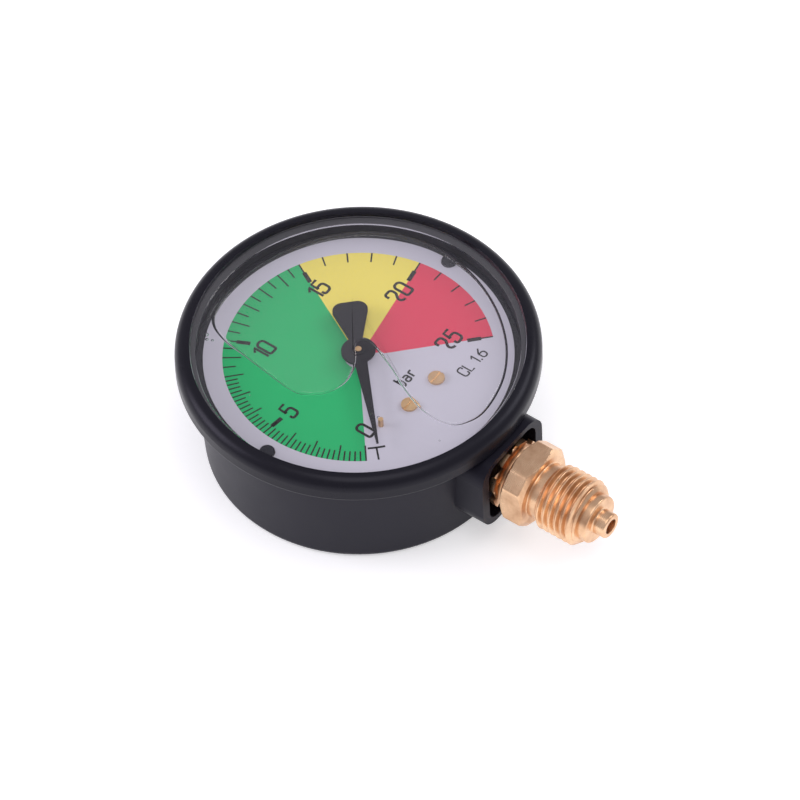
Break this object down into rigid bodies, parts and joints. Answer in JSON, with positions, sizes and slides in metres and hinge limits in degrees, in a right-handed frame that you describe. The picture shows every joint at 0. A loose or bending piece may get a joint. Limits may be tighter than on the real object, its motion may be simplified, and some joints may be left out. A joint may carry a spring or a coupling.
{
  "type": "pressure gauge",
  "caption": "Round liquid-filled Bourdon tube pressure gauge with a threaded stem at six o'clock, a coloured dial and a pointer driven by its geared movement.",
  "frame": {"origin": "centre of the case's flat back face, on the case's axis", "axes": "+Z is the dial's outward normal, -Y points along the stem (six o'clock), +X is three o'clock"},
  "size_m": [0.068, 0.0914, 0.0273],
  "materials": {
    "case_plastic": "moulded black plastic, satin",
    "bezel_plastic": "moulded black plastic, satin",
    "window_clear": "clear moulded plastic, polished",
    "black_rubber": "black nitrile rubber",
    "dial_print": "white painted aluminium with printed scale",
    "brass": "turned brass",
    "brass_stem": "turned and milled brass",
    "plated_steel": "zinc-plated steel",
    "bronze_tube": "phosphor bronze",
    "pointer_black": "black painted aluminium"
  },
  "bodies": {
    "housing": {"case": "case_plastic", "bezel_ring": "bezel_plastic", "window": "window_clear", "window_gasket": "black_rubber", "dial": "dial_print", "dial_screws": "brass", "stop_pin": "brass", "stem": "brass_stem", "stem_seal": "black_rubber", "restrictor": "brass", "case_screws": "plated_steel", "filler_plug": "black_rubber", "bourdon_tube": "bronze_tube", "back_plate": "brass", "front_plate": "brass", "pillars": "brass", "movement_screws": "plated_steel", "hairspring": "bronze_tube", "hairspring_stud": "brass"},
    "sector": {"sector_gear": "brass", "sector_shaft": "plated_steel", "tail_pin": "brass"},
    "pointer": {"pinion_shaft": "brass", "hairspring_collet": "brass", "pointer": "pointer_black", "pointer_bush": "pointer_black"},
    "tube_end": {"tube_tip": "brass", "tip_pin": "brass"},
    "link": {"link": "brass"}
  },
  "joints": [
    {"name": "sector_turn", "type": "hinge", "parent": "housing", "child": "sector", "pos_m": [0.01145, -0.00761, 0.0155], "axis": [0, 0, 1], "range_deg": [0, 27], "stiffness_Nm_per_rad": 0.02, "springref_deg": -2.86},
    {"name": "pointer_turn", "type": "hinge", "parent": "housing", "child": "pointer", "pos_m": [0, 0, 0.0155], "axis": [0, 0, 1], "range_deg": [-270, 0], "deforming": ["hairspring"]},
    {"name": "tip_swing", "type": "hinge", "parent": "housing", "child": "tube_end", "pos_m": [-0.00572, 0.00592, 0.011], "axis": [0, 0, 1], "range_deg": [0, 5.4], "deforming": ["bourdon_tube"]},
    {"name": "link_swing", "type": "hinge", "parent": "tube_end", "child": "link", "pos_m": [0.0184, 0, 0.0165], "axis": [0, 0, 1], "range_deg": [-4.5, 0]}
  ],
  "couplings": [
    {"joint": "pointer_turn", "follows": "sector_turn", "ratio": -10},
    {"joint": "tip_swing", "follows": "sector_turn", "ratio": 0.19987},
    {"joint": "link_swing", "follows": "sector_turn", "ratio": -0.16613}
  ]
}
